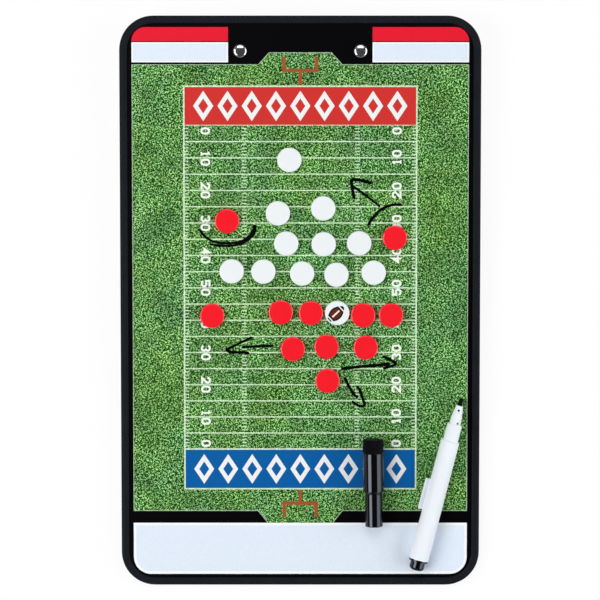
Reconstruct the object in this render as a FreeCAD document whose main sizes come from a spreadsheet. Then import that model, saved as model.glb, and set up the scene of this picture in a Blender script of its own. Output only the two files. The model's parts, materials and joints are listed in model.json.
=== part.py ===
import FreeCAD, Part
import math
import os

import Sketcher

Vector = FreeCAD.Vector
Rotation = FreeCAD.Rotation

# Magnetic tactics board, lying face up. Millimetres: +X to the right, +Y to the header, +Z out of the
# printed face. The origin is under the middle of the board, level with the lowest point of the clip.

doc = FreeCAD.newDocument("tactics_board")
sheet = doc.addObject("Spreadsheet::Sheet", "sizes")

# Driving dimensions
SIZES = {
    # board and edging
    "board_width": 220.7,
    "board_length": 350.4,
    "corner_radius": 20.8,
    "flange_width": 4.75,
    "flange_thickness": 1.1,
    "frame_wall": 1.6,
    "frame_rounding": 2.0,
    "lip_rounding": 0.9,
    "edge_clearance": 0.1,
    "face_thickness": 0.3,
    "backing_thickness": 3.0,
    # rivets of the clip
    "rivet_spacing": 73.4,
    "rivet_inset": 21.5,
    "rivet_head": 8.5,
    "rivet_rim": 0.3,
    "rivet_edge": 1.6,
    "rivet_crown": 13.5,
    "rivet_shank": 4.0,
    "rivet_tail": 7.0,
    "rivet_tail_height": 1.0,
    "rivet_clearance": 0.1,
    # clip: metal, base plate and hinge
    "clip_metal": 1.0,
    "clip_width": 100,
    "ear_gap": 0.5,
    "pivot_drop": 3.0,
    "base_height": 19,
    "base_corner": 2.0,
    "base_ear_radius": 3.0,
    "lever_ear_radius": 3.4,
    "pin_diameter": 2.5,
    "pin_fit": 0.05,
    "pin_head": 4.2,
    "pin_head_height": 0.8,
    "pin_end_gap": 0.1,
    # clip: torsion spring
    "spring_wire": 1.4,
    "spring_radius": 3.0,
    "spring_pitch": 2.0,
    "spring_full_turns": 5,
    "spring_seat": 0.1,
    "spring_leg_on_base": 8.0,
    "spring_leg_on_lever": 10.0,
    # clip: lever, measured from the pivot
    "jaw_reach": 21.0,
    "jaw_foot": 2.0,
    "jaw_gap": 0.1,
    "lip_reach": 3.0,
    "lip_rise": 3.0,
    "web_below": 13.0,
    "web_above": 12.0,
    "tail_reach": 5.0,
    "tail_rise": 1.9,
    "jaw_bend": 1.6,
    "web_bend": 2.5,
    "tail_bend": 3.0,
    "tail_width": 60,
    "tail_shoulder": 8.5,
    "tail_fillet": 3.0,
    "tail_corner": 5.0,
    "lever_corner": 3.0,
    "hanging_hole": 6.0,
    "hanging_hole_offset": 7.5,
    # disc magnets
    "disc_diameter": 15,
    "disc_height": 3.5,
    "disc_rounding": 0.8,
    "disc_foot": 0.2,
    "disc_wall": 1.3,
    "ferrite_thickness": 2.4,
    "ferrite_chamfer": 0.3,
    "ferrite_clearance": 0.1,
    # marker
    "marker_diameter": 12,
    "barrel_length": 75.9,
    "barrel_front": 11.5,
    "barrel_bore": 10,
    "barrel_shoulder": 0.4,
    "collar_base": 9.3,
    "collar_front": 9.1,
    "collar_length": 10.5,
    "nose_base": 6.9,
    "nose_front": 3.8,
    "nose_length": 11.9,
    "nose_parallel": 0.5,
    "nose_wall": 1.2,
    "nib_diameter": 2.9,
    "nib_straight": 0.8,
    "nib_tip": 2.2,
    "nib_tip_height": 0.6,
    "nib_reach": 5.0,
    "nib_root": 18,
    "nib_fit": 0.05,
    "reservoir_gap": 0.7,
    "rib_start": 30.7,
    "rib_length": 19.3,
    "rib_height": 2.7,
    "rib_width": 2.8,
    "rib_crest": 1.4,
    "rib_web": 0.9,
    "rib_corner": 0.5,
    "rib_root": 0.5,
    "vent_diameter": 1.4,
    "vent_spacing": 7.85,
    "vent_inset": 2.85,
    "vent_offset": 1.4,
    "plug_flange": 1.2,
    "plug_length": 6.9,
    "plug_diameter": 9.2,
    "plug_rounding": 2.2,
    "plug_spigot": 6.0,
    "plug_fit": 0.05,
    "marker_lean": 14.6,
    "marker_from_right": 37.4,
    "marker_from_bottom": 17.1,
    "lying_gap": 0.1,
    # cap and eraser
    "cap_diameter": 12.9,
    "cap_grip_length": 23.9,
    "cap_chamfer": 0.4,
    "cap_groove": 1.9,
    "cap_groove_floor": 0.5,
    "cap_groove_diameter": 10.2,
    "cap_mouth_diameter": 10.9,
    "cap_mouth_length": 19.8,
    "cap_bore": 9.4,
    "cap_bore_depth": 30,
    "felt_diameter": 12.9,
    "felt_length": 8.4,
    "felt_rounding": 0.8,
    "felt_spigot": 8.8,
    "felt_spigot_length": 4.0,
    "felt_fit": 0.1,
    "cap_lean": 0.8,
    "cap_from_right": 65.0,
    "cap_from_bottom": 37.6,
}

# Sizes and levels that follow from the driving dimensions
DERIVED = {
    "half_width": "board_width / 2",
    "half_length": "board_length / 2",
    "face_inset": "frame_wall + edge_clearance",
    "face_width": "board_width - 2 * face_inset",
    "face_length": "board_length - 2 * face_inset",
    "face_corner": "corner_radius - face_inset",
    "frame_height": "backing_thickness + face_thickness + 2 * flange_thickness",
    "coil_reach": "spring_radius + spring_wire / 2 + spring_seat",
    "pivot_depth": "clip_metal + coil_reach",
    "tail_thickness": "clip_metal * cos(atan(tail_rise / tail_reach))",
    "back_level": "pivot_depth + coil_reach + tail_rise + tail_thickness",
    "face_back_level": "back_level + backing_thickness",
    "face_level": "face_back_level + face_thickness",
    "frame_level": "back_level - flange_thickness",
    "rivet_line": "half_length - rivet_inset",
    "rivet_grip": "face_thickness + backing_thickness + clip_metal",
    "rivet_hole": "rivet_shank + 2 * rivet_clearance",
    "rivet_edge_place": "rivet_head / 2 - rivet_edge",
    "rivet_crown_drop": "sqrt((rivet_crown - rivet_edge)^2 - rivet_edge_place^2)",
    "rivet_crown_share": "rivet_crown / (rivet_crown - rivet_edge)",
    "rivet_shoulder": "rivet_edge_place * rivet_crown_share",
    "rivet_shoulder_height": "rivet_rim + rivet_crown_drop * (rivet_crown_share - 1)",
    "rivet_head_height": "rivet_rim + rivet_crown - rivet_crown_drop",
    "pivot_line": "rivet_line - pivot_drop",
    "pivot_level": "back_level - pivot_depth",
    "pin_hole": "pin_diameter + 2 * pin_fit",
    "base_width": "clip_width - 2 * (clip_metal + ear_gap)",
    "jaw_level": "pivot_depth - jaw_gap",
    "lever_low_end": "jaw_reach + jaw_foot + lip_reach",
    "lever_high_end": "web_above + tail_reach",
    "ferrite_diameter": "disc_diameter - 2 * (disc_wall + ferrite_clearance)",
    "collar_end": "barrel_length + collar_length",
    "nose_end": "collar_end + nose_length",
    "nib_end": "nose_end + nib_reach",
    "nib_start": "nose_end - nib_root",
    "nib_hole": "nib_diameter + 2 * nib_fit",
    "marker_level": "face_level + marker_diameter / 2 + lying_gap",
    "cap_groove_end": "cap_mouth_length + cap_groove",
    "cap_length": "cap_groove_end + cap_grip_length",
    "felt_socket": "felt_spigot + 2 * felt_fit",
    "felt_socket_depth": "felt_spigot_length + felt_fit",
    "cap_level": "face_level + cap_diameter / 2 + lying_gap",
}

# Where the discs stand, in disc diameters from the middle of the board, so that larger discs
# spread the play instead of running into each other
WHITE_DISCS = [
    (-0.447, 5.833), (-0.913, 3.660), (0.933, 3.860), (-0.573, 2.427), (0.953, 2.400), (2.400, 2.440),
    (-2.800, 1.293), (-1.507, 1.280), (0.073, 1.200), (1.473, 1.153), (2.993, 1.233),
]
RED_DISCS = [
    (-2.987, 3.347), (3.853, 2.660), (-3.600, -0.527), (-0.800, -0.387), (0.433, -0.413), (2.565, -0.500),
    (3.707, -0.500), (-0.307, -1.887), (1.073, -1.793), (2.673, -1.827), (1.113, -3.200),
]
BALL_DISC = (1.505, -0.413)

nodes = []


def fill_sheet():
    """One row per size: its name, and a cell of that alias with its number or formula."""
    rows = list(SIZES.items())
    rows += [(name, "=" + formula) for name, formula in DERIVED.items()]
    for row, (name, value) in enumerate(rows, start=1):
        sheet.set("A%d" % row, name)
        sheet.set("B%d" % row, str(value))
        sheet.setAlias("B%d" % row, name)
    doc.recompute()


def in_sheet(expression):
    """Write a size expression with each alias as a cell of the sheet."""
    words = []
    word = ""
    for letter in expression + " ":
        if letter.isalnum() or letter == "_":
            word += letter
            continue
        words.append("sizes." + word if word in SIZES or word in DERIVED else word)
        words.append(letter)
        word = ""
    return "".join(words).strip()


def size(expression):
    return float(sheet.evalExpression(in_sheet(expression)))


def bind(target, **properties):
    for name, expression in properties.items():
        target.setExpression(name, in_sheet(expression))


def place(target, x="0", y="0", z="0", rotation=None):
    """Set a sub-part's place from the sheet."""
    if rotation:
        target.Placement = FreeCAD.Placement(Vector(), rotation)
    for axis, expression in (("x", x), ("y", y), ("z", z)):
        target.setExpression("Placement.Base." + axis, in_sheet(expression))


def new_body(label):
    body = doc.addObject("PartDesign::Body", label)
    body.Label = label
    return body


def new_sketch(body, name, role, offset=None):
    """A sketch on one of the body's own origin planes, lifted off it by the given size."""
    sketch = body.newObject("Sketcher::SketchObject", name)
    plane = next(f for f in body.Origin.OriginFeatures if f.Role == role)
    sketch.AttachmentSupport = [(plane, "")]
    sketch.MapMode = "FlatFace"
    if offset:
        sketch.setExpression("AttachmentOffset.Base.z", in_sheet(offset))
    return sketch


def bind_constraint(sketch, index, expression):
    """Name a dimension of the sketch, so that it keeps its size expression when others are removed."""
    name = "dimension_%d" % len(sketch.ExpressionEngine)
    sketch.renameConstraint(index, name)
    sketch.setExpression("Constraints." + name, in_sheet(expression))


def fix_point(sketch, geometry, end, x, y):
    """Hold a point of the sketch at a place given by two size expressions."""
    for axis, other_axis, expression in (("X", -2, x), ("Y", -1, y)):
        if expression == "0":
            sketch.addConstraint(Sketcher.Constraint("PointOnObject", geometry, end, other_axis))
            continue
        value = size(expression)
        index = sketch.addConstraint(Sketcher.Constraint("Distance" + axis, -1, 1, geometry, end, value))
        bind_constraint(sketch, index, expression)


def outline(sketch, start, *steps):
    """Draw a chain of lines and arcs through points given by size expressions.

    A step is (kind, x, y): "line", "arc" for an arc tangent to the step before it, or "dome" for an
    arc whose centre lies on the sketch's vertical axis. A chain that isn't back at its start is closed
    with a line.
    """
    steps = list(steps)
    if steps[-1][1:] != start:
        steps.append(("line",) + start)
    point = Vector(size(start[0]), size(start[1]), 0)
    heading = None
    links = []
    for kind, x, y in steps:
        target = Vector(size(x), size(y), 0)
        chord = target - point
        if kind == "line":
            geometry = sketch.addGeometry(Part.LineSegment(point, target))
            ends = (1, 2)
            heading = chord.normalize()
        else:
            if kind == "dome":
                level = (target.dot(target) - point.dot(point)) / (2 * chord.y)
                spoke = point - Vector(0, level, 0)
                middle = (target + point) * 0.5 - Vector(0, level, 0)
                middle = Vector(0, level, 0) + middle.normalize() * spoke.Length
            else:
                half_turn = heading.getAngle(chord) / 2
                side = heading - chord * (heading.dot(chord) / chord.dot(chord))
                middle = (point + target) * 0.5 + side.normalize() * (chord.Length / 2 * math.tan(half_turn))
            clockwise = (middle - point).cross(target - middle).z < 0
            arc = Part.Arc(target, middle, point) if clockwise else Part.Arc(point, middle, target)
            geometry = sketch.addGeometry(arc)
            ends = (2, 1) if clockwise else (1, 2)
            along = Vector(chord).normalize()
            heading = along * (2 * heading.dot(along)) - heading if kind == "arc" else along
        links.append((kind, geometry, ends, x, y))
        point = target

    fix_point(sketch, links[0][1], links[0][2][0], *start)
    for (_, before, before_ends, x, y), (kind, after, after_ends, _, _) in zip(links, links[1:]):
        join = "Tangent" if kind == "arc" else "Coincident"
        sketch.addConstraint(Sketcher.Constraint(join, before, before_ends[1], after, after_ends[0]))
        fix_point(sketch, before, before_ends[1], x, y)
    for kind, geometry, _, _, _ in links:
        if kind == "dome":
            sketch.addConstraint(Sketcher.Constraint("PointOnObject", geometry, 3, -2))
    first, last = links[0], links[-1]
    sketch.addConstraint(Sketcher.Constraint("Coincident", last[1], last[2][1], first[1], first[2][0]))


def circle(sketch, x, y, diameter):
    centre = Vector(size(x), size(y), 0)
    geometry = sketch.addGeometry(Part.Circle(centre, Vector(0, 0, 1), size(diameter) / 2))
    fix_point(sketch, geometry, 3, x, y)
    index = sketch.addConstraint(Sketcher.Constraint("Diameter", geometry, size(diameter)))
    bind_constraint(sketch, index, diameter)


def rounded_rectangle(sketch, width, length, radius):
    """A rectangle about the sketch's origin, drawn from the middle of its right side."""
    right, left = "(%s) / 2" % width, "-(%s) / 2" % width
    top, bottom = "(%s) / 2" % length, "-(%s) / 2" % length
    outline(
        sketch,
        (right, "0"),
        ("line", right, top + " - " + radius),
        ("arc", right + " - " + radius, top),
        ("line", left + " + " + radius, top),
        ("arc", left, top + " - " + radius),
        ("line", left, bottom + " + " + radius),
        ("arc", left + " + " + radius, bottom),
        ("line", right + " - " + radius, bottom),
        ("arc", right, bottom + " + " + radius),
    )


def pad(body, sketch, length, midplane=False):
    feature = body.newObject("PartDesign::Pad", sketch.Name + "_pad")
    feature.Profile = sketch
    feature.Midplane = midplane
    bind(feature, Length=length)
    doc.recompute()
    return feature


def pocket(body, sketch, length, midplane=False, upward=False):
    """Cut a sketch out of the body, and make sure that it removed something."""
    before = body.Shape.Volume
    feature = body.newObject("PartDesign::Pocket", sketch.Name + "_pocket")
    feature.Profile = sketch
    feature.Midplane = midplane
    feature.Reversed = upward
    bind(feature, Length=length)
    doc.recompute()
    if not body.Shape.Volume < before:
        raise RuntimeError(feature.Name + " cuts nothing")
    return feature


def revolve(body, name, role, start, *steps):
    """A solid of revolution about the sketch's vertical axis."""
    sketch = new_sketch(body, name, role)
    outline(sketch, start, *steps)
    feature = body.newObject("PartDesign::Revolution", name + "_turn")
    feature.Profile = sketch
    feature.ReferenceAxis = (sketch, ["V_Axis"])
    feature.Angle = 360
    return feature


# Board

def edge_frame():
    """Black edging: one U section swept round the board, rounded outside and at both lips."""
    body = new_body("edge_frame")
    path = new_sketch(body, "frame_path", "XY_Plane")
    rounded_rectangle(path, "board_width", "board_length", "corner_radius")
    section = new_sketch(body, "frame_section", "XZ_Plane")
    lip = "half_width - flange_width"
    channel = "half_width - frame_wall"
    outline(
        section,
        ("half_width", "frame_rounding"),
        ("line", "half_width", "frame_height - frame_rounding"),
        ("arc", "half_width - frame_rounding", "frame_height"),
        ("line", lip + " + lip_rounding", "frame_height"),
        ("arc", lip, "frame_height - lip_rounding"),
        ("line", lip, "frame_height - flange_thickness"),
        ("line", channel, "frame_height - flange_thickness"),
        ("line", channel, "flange_thickness"),
        ("line", lip, "flange_thickness"),
        ("line", lip, "lip_rounding"),
        ("arc", lip + " + lip_rounding", "0"),
        ("line", "half_width - frame_rounding", "0"),
        ("arc", "half_width", "frame_rounding"),
    )
    sweep = body.newObject("PartDesign::AdditivePipe", "frame_sweep")
    sweep.Profile = section
    sweep.Spine = path
    place(body, z="frame_level")
    nodes.append(body)


def face_layer(label, thickness, level):
    """A layer of the board that fills the edging's channel, with the two rivet holes."""
    body = new_body(label)
    plate = new_sketch(body, label + "_outline", "XY_Plane")
    rounded_rectangle(plate, "face_width", "face_length", "face_corner")
    pad(body, plate, thickness)
    holes = new_sketch(body, label + "_holes", "XY_Plane")
    circle(holes, "rivet_spacing / 2", "rivet_line", "rivet_hole")
    circle(holes, "-rivet_spacing / 2", "rivet_line", "rivet_hole")
    pocket(body, holes, thickness, upward=True)
    place(body, z=level)
    nodes.append(body)


# Spring clip on the back

def clip_rivets():
    """Two rivets: a low crowned head with a round edge on the printed face, and a tail formed on the clip."""
    rivets = []
    for side, x in (("left", "-rivet_spacing / 2"), ("right", "rivet_spacing / 2")):
        body = new_body("rivet_" + side)
        revolve(
            body, "rivet_profile_" + side, "XZ_Plane",
            ("0", "-rivet_grip - rivet_tail_height"),
            ("line", "rivet_tail / 2 - rivet_tail_height / 2", "-rivet_grip - rivet_tail_height"),
            ("line", "rivet_tail / 2", "-rivet_grip - rivet_tail_height / 2"),
            ("line", "rivet_tail / 2", "-rivet_grip"),
            ("line", "rivet_shank / 2", "-rivet_grip"),
            ("line", "rivet_shank / 2", "0"),
            ("line", "rivet_head / 2", "0"),
            ("line", "rivet_head / 2", "rivet_rim"),
            ("arc", "rivet_shoulder", "rivet_shoulder_height"),
            ("dome", "0", "rivet_head_height"),
        )
        place(body, x=x, y="rivet_line", z="face_level")
        rivets.append(body)
    pair = doc.addObject("Part::Compound", "clip_rivets")
    pair.Label = "clip_rivets"
    pair.Links = rivets
    nodes.append(pair)


def clip_base_plate():
    """Plate riveted to the back, with two ears bent down from its ends for the hinge pin."""
    body = new_body("clip_base_plate")
    plate = new_sketch(body, "base_outline", "XY_Plane", "pivot_depth - clip_metal")
    rounded_rectangle(plate, "base_width", "base_height", "base_corner")
    pad(body, plate, "clip_metal")
    ear = new_sketch(body, "base_ear", "YZ_Plane")
    ear_top = "pivot_depth - clip_metal / 2"
    outline(
        ear,
        ("base_ear_radius", "0"),
        ("line", "base_ear_radius", ear_top),
        ("line", "-base_ear_radius", ear_top),
        ("line", "-base_ear_radius", "0"),
        ("arc", "base_ear_radius", "0"),
    )
    pad(body, ear, "base_width", midplane=True)
    between = new_sketch(body, "between_ears", "YZ_Plane")
    outline(
        between,
        ("base_height / 2", "pivot_depth - clip_metal"),
        ("line", "-base_height / 2", "pivot_depth - clip_metal"),
        ("line", "-base_height / 2", "-base_height / 2"),
        ("line", "base_height / 2", "-base_height / 2"),
    )
    pocket(body, between, "base_width - 2 * clip_metal", midplane=True)
    hole = new_sketch(body, "base_pin_hole", "YZ_Plane")
    circle(hole, "0", "0", "pin_hole")
    pocket(body, hole, "clip_width", midplane=True)
    rivet_holes = new_sketch(body, "base_rivet_holes", "XY_Plane", "pivot_depth - clip_metal")
    circle(rivet_holes, "rivet_spacing / 2", "pivot_drop", "rivet_hole")
    circle(rivet_holes, "-rivet_spacing / 2", "pivot_drop", "rivet_hole")
    pocket(body, rivet_holes, "clip_metal", upward=True)
    place(body, y="pivot_line", z="pivot_level")
    nodes.append(body)


def clip_hinge_pin():
    """Pin through both pairs of ears, with a peened head at each end."""
    body = new_body("clip_hinge_pin")
    shoulder = "clip_width / 2 + pin_end_gap"
    revolve(
        body, "pin_profile", "XZ_Plane",
        ("0", "-(%s) - pin_head_height" % shoulder),
        ("dome", "pin_head / 2", "-(%s)" % shoulder),
        ("line", "pin_diameter / 2", "-(%s)" % shoulder),
        ("line", "pin_diameter / 2", shoulder),
        ("line", "pin_head / 2", shoulder),
        ("dome", "0", shoulder + " + pin_head_height"),
    )
    place(body, y="pivot_line", z="pivot_level", rotation=Rotation(Vector(0, 1, 0), 90))
    nodes.append(body)


def tangent_arc(start, heading, end):
    """Arc that leaves start along heading and reaches end."""
    chord = end - start
    half_turn = heading.getAngle(chord) / 2
    side = heading - chord * (heading.dot(chord) / chord.dot(chord))
    middle = (start + end) * 0.5 + side.normalize() * (chord.Length / 2 * math.tan(half_turn))
    return Part.Arc(start, middle, end)


def biarc(start, start_heading, end, end_heading):
    """Two tangent arcs from one point and heading to another."""
    span = end - start
    headings = start_heading + end_heading
    turn = 2 * (1 - start_heading.dot(end_heading))
    along = span.dot(headings)
    reach = (math.sqrt(along * along + turn * span.dot(span)) - along) / turn
    joint = (start + end + (start_heading - end_heading) * reach) * 0.5
    first = tangent_arc(start, start_heading, joint)
    second_back = tangent_arc(end, end_heading * -1, joint)
    middle = second_back.value((second_back.FirstParameter + second_back.LastParameter) / 2)
    return [first, Part.Arc(joint, middle, end)]


def spring_route():
    """Lower leg, half turns about the pin, upper leg; both legs point to the lever's tail."""
    radius = size("spring_radius")
    half_turns = 2 * int(size("spring_full_turns")) + 1
    advance = size("spring_pitch") / 2
    slope = advance / (math.pi * radius)
    first_x = -advance * half_turns / 2
    turning = []
    for index in range(half_turns + 1):
        side = 1 if index % 2 == 0 else -1
        at_end = index in (0, half_turns)
        heading = Vector(0 if at_end else slope, -side, 0)
        turning.append((Vector(first_x + advance * index, 0, side * radius), heading.normalize()))
    start, finish = turning[0][0], turning[-1][0]
    base_leg_end = start + Vector(0, size("spring_leg_on_base"), 0)
    lever_leg_end = finish + Vector(0, size("spring_leg_on_lever"), 0)
    curves = [Part.LineSegment(base_leg_end, start)]
    for (point, heading), (next_point, next_heading) in zip(turning, turning[1:]):
        curves += biarc(point, heading, next_point, next_heading)
    curves.append(Part.LineSegment(finish, lever_leg_end))
    return [curve.toShape() for curve in curves]


def least_gap(edges, wire):
    """Smallest clear distance between stretches of the wire that are over half a turn apart."""
    points = []
    travelled = 0
    step = wire / 4
    for edge in edges:
        count = max(2, int(edge.Length / step))
        stretch = [(travelled + edge.Length * i / count, p) for i, p in enumerate(edge.discretize(count + 1))]
        points += stretch[:-1]
        travelled += edge.Length
    apart = math.pi * size("spring_radius")
    distances = [
        (q - p).Length
        for i, (here, p) in enumerate(points)
        for there, q in points[i + 1:]
        if there - here > apart
    ]
    return min(distances) - wire


def clip_spring():
    """Torsion spring on the pin, one unbroken wire."""
    wire = size("spring_wire")
    edges = spring_route()
    route = Part.Wire(edges)
    section = Part.Wire(Part.Circle(edges[0].Vertexes[0].Point, Vector(0, 1, 0), wire / 2).toShape())
    spring = doc.addObject("Part::Feature", "clip_spring")
    spring.Label = "clip_spring"
    spring.Shape = route.makePipeShell([section], True, False)
    place(spring, y="pivot_line", z="pivot_level")
    volume = math.pi * wire * wire / 4 * route.Length
    print("spring volume %.3f, section times length %.3f" % (spring.Shape.Volume, volume))
    print("spring least gap %.3f" % least_gap(edges, wire))
    nodes.append(spring)


def lever_sketch(name):
    """A sketch in the plane square to the hinge, measured from the pivot: along +Y, and up +Z."""
    sketch = doc.addObject("Sketcher::SketchObject", name)
    place(sketch, y="pivot_line", z="pivot_level", rotation=Rotation(Vector(1, 1, 1), 120))
    return sketch


def extrude(source, name, length, direction, symmetric):
    solid = doc.addObject("Part::Extrusion", name)
    solid.Base = source
    solid.DirMode = "Custom"
    solid.Dir = direction
    solid.Solid = True
    solid.Symmetric = symmetric
    bind(solid, LengthFwd=length)
    return solid


def bent_line(sketch, *corners):
    """Draw an open line through corners (x, y, bend radius), each bend an arc tangent to both sides."""
    points = [Vector(size(x), size(y), 0) for x, y, _ in corners]
    for start, end in zip(points, points[1:]):
        sketch.addGeometry(Part.LineSegment(start, end))
    fix_point(sketch, 0, 1, *corners[0][:2])
    for index, (x, y, _) in enumerate(corners[1:]):
        fix_point(sketch, index, 2, x, y)
    bends = [bend for _, _, bend in corners[1:-1]]
    for index in range(len(bends)):
        sketch.addConstraint(Sketcher.Constraint("Coincident", index, 2, index + 1, 1))
    for index, bend in enumerate(bends):
        arc = sketch.GeometryCount
        sketch.fillet(index, 2, size(bend), True, True)
        radius = sketch.addConstraint(Sketcher.Constraint("Radius", arc, size(bend)))
        bind_constraint(sketch, radius, bend)


def lever_web():
    """Bent strip of the lever: lip, jaw foot, slope, web and thumb tail, cut to its outline."""
    line = lever_sketch("lever_line")
    bent_line(
        line,
        ("-lever_low_end", "jaw_level - lip_rise", None),
        ("-jaw_reach - jaw_foot", "jaw_level", "jaw_bend"),
        ("-jaw_reach", "jaw_level", "jaw_bend"),
        ("-web_below", "-coil_reach", "web_bend"),
        ("web_above", "-coil_reach", "tail_bend"),
        ("lever_high_end", "-coil_reach - tail_rise", None),
    )
    section = doc.addObject("Part::Offset2D", "lever_section")
    section.Source = line
    section.Mode = "Skin"
    section.Fill = True
    bind(section, Value="clip_metal")
    strip = extrude(section, "lever_strip", "clip_width", Vector(1, 0, 0), True)

    plan = doc.addObject("Sketcher::SketchObject", "lever_plan")
    place(plan, y="pivot_line")
    side, tail_side = "clip_width / 2", "tail_width / 2"
    outline(
        plan,
        (side, "0"),
        ("line", side, "tail_shoulder - lever_corner"),
        ("arc", side + " - lever_corner", "tail_shoulder"),
        ("line", tail_side + " + tail_fillet", "tail_shoulder"),
        ("arc", tail_side, "tail_shoulder + tail_fillet"),
        ("line", tail_side, "lever_high_end - tail_corner"),
        ("arc", tail_side + " - tail_corner", "lever_high_end"),
        ("line", "-" + tail_side + " + tail_corner", "lever_high_end"),
        ("arc", "-" + tail_side, "lever_high_end - tail_corner"),
        ("line", "-" + tail_side, "tail_shoulder + tail_fillet"),
        ("arc", "-" + tail_side + " - tail_fillet", "tail_shoulder"),
        ("line", "-" + side + " + lever_corner", "tail_shoulder"),
        ("arc", "-" + side, "tail_shoulder - lever_corner"),
        ("line", "-" + side, "-lever_low_end + lever_corner"),
        ("arc", "-" + side + " + lever_corner", "-lever_low_end"),
        ("line", side + " - lever_corner", "-lever_low_end"),
        ("arc", side, "-lever_low_end + lever_corner"),
    )
    blank = extrude(plan, "lever_plan_block", "back_level", Vector(0, 0, 1), False)
    web = doc.addObject("Part::Common", "lever_web")
    web.Base = strip
    web.Tool = blank
    return web


def lever_ears():
    """Two ears bent up from the sides of the web, round about the hinge pin."""
    ear = lever_sketch("lever_ear")
    foot = "-coil_reach - clip_metal / 2"
    outline(
        ear,
        ("lever_ear_radius", "0"),
        ("line", "lever_ear_radius", foot),
        ("line", "-lever_ear_radius", foot),
        ("line", "-lever_ear_radius", "0"),
        ("arc", "lever_ear_radius", "0"),
    )
    ears = doc.addObject("Part::Cut", "lever_ears")
    ears.Base = extrude(ear, "lever_ear_block", "clip_width", Vector(1, 0, 0), True)
    ears.Tool = extrude(ear, "lever_ear_room", "clip_width - 2 * clip_metal", Vector(1, 0, 0), True)
    return ears


def clip_lever():
    """Pressed lever: web and ears in one sheet, with the pin's holes and a hole to hang the board by."""
    blank = doc.addObject("Part::Fuse", "lever_blank")
    blank.Base = lever_web()
    blank.Tool = lever_ears()
    pin_hole = doc.addObject("Part::Cylinder", "lever_pin_hole")
    bind(pin_hole, Radius="pin_hole / 2", Height="clip_width")
    across = Rotation(Vector(0, 1, 0), 90)
    place(pin_hole, x="-clip_width / 2", y="pivot_line", z="pivot_level", rotation=across)
    hanging_hole = doc.addObject("Part::Cylinder", "lever_hanging_hole")
    bind(hanging_hole, Radius="hanging_hole / 2", Height="pivot_level")
    place(hanging_hole, y="pivot_line + hanging_hole_offset")
    holes = doc.addObject("Part::Fuse", "lever_holes")
    holes.Base = pin_hole
    holes.Tool = hanging_hole
    lever = doc.addObject("Part::Cut", "clip_lever")
    lever.Label = "clip_lever"
    lever.Base = blank
    lever.Tool = holes
    nodes.append(lever)


def lay_on_face(body, thing, clockwise):
    """Lay a piece of the marker or its cap on the printed face, at that thing's place and lean."""
    upright = Vector(0, 0, -1 if clockwise else 1)
    place(
        body,
        x="half_width - %s_from_right" % thing,
        y="-half_length + %s_from_bottom" % thing,
        z=thing + "_level",
        rotation=Rotation(upright, size(thing + "_lean")),
    )
    bind(body, **{"Placement.Rotation.Angle": thing + "_lean"})
    nodes.append(body)


# Marker: its own Y axis runs from the tail to the nib

def marker_barrel():
    """Hollow barrel with the collar that the cap grips, a rounded nose, two vents and an anti-roll rib."""
    body = new_body("marker_barrel")
    revolve(
        body, "barrel_profile", "XY_Plane",
        ("barrel_bore / 2", "0"),
        ("line", "marker_diameter / 2", "0"),
        ("line", "barrel_front / 2", "barrel_length - barrel_shoulder"),
        ("line", "barrel_front / 2 - barrel_shoulder", "barrel_length"),
        ("line", "collar_base / 2", "barrel_length"),
        ("line", "collar_front / 2", "collar_end"),
        ("line", "nose_base / 2", "collar_end"),
        ("line", "nose_base / 2", "collar_end + nose_parallel"),
        ("arc", "nose_front / 2", "nose_end"),
        ("line", "nib_hole / 2", "nose_end"),
        ("line", "nib_hole / 2", "collar_end - nose_wall"),
        ("line", "collar_front / 2 - nose_wall", "collar_end - nose_wall"),
        ("line", "collar_base / 2 - nose_wall", "barrel_length - nose_wall"),
        ("line", "barrel_bore / 2", "barrel_length - 2 * nose_wall"),
    )
    side, crest = "-marker_diameter / 2", "-marker_diameter / 2 - rib_height"
    rib_end = "rib_start + rib_length"
    web = new_sketch(body, "barrel_rib_web", "XY_Plane")
    outline(
        web,
        (side + " + rib_root", "rib_start"),
        ("line", side + " + rib_root", rib_end),
        ("line", crest + " + rib_crest / 2", rib_end),
        ("line", crest + " + rib_crest / 2", "rib_start"),
    )
    pad(body, web, "rib_web", midplane=True)
    rib = new_sketch(body, "barrel_rib_crest", "XY_Plane")
    outline(
        rib,
        (crest + " + rib_crest", "rib_start"),
        ("line", crest + " + rib_crest", rib_end),
        ("line", crest + " + rib_corner", rib_end),
        ("arc", crest, rib_end + " - rib_corner"),
        ("line", crest, "rib_start + rib_corner"),
        ("arc", crest + " + rib_corner", "rib_start"),
    )
    pad(body, rib, "rib_width", midplane=True)
    vents = new_sketch(body, "barrel_vents", "XY_Plane")
    circle(vents, "0", "nose_end - vent_inset", "vent_diameter")
    circle(vents, "vent_offset", "nose_end - vent_inset - vent_spacing", "vent_diameter")
    pocket(body, vents, "marker_diameter", upward=True)
    lay_on_face(body, "marker", clockwise=True)


def marker_nib():
    """Bullet nib, pushed through the nose to the reservoir."""
    body = new_body("marker_nib")
    revolve(
        body, "nib_profile", "XY_Plane",
        ("0", "nib_start"),
        ("line", "nib_diameter / 2", "nib_start"),
        ("line", "nib_diameter / 2", "nose_end + nib_straight"),
        ("line", "nib_tip / 2", "nib_end - nib_tip_height"),
        ("dome", "0", "nib_end"),
    )
    lay_on_face(body, "marker", clockwise=True)


def marker_ink_reservoir():
    """Fibre rod between the end plug and the nib."""
    body = new_body("marker_ink_reservoir")
    radius = "collar_base / 2 - nose_wall - reservoir_gap"
    revolve(
        body, "reservoir_profile", "XY_Plane",
        ("0", "plug_spigot"),
        ("line", radius, "plug_spigot"),
        ("line", radius, "nib_start"),
        ("line", "0", "nib_start"),
    )
    lay_on_face(body, "marker", clockwise=True)


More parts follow.
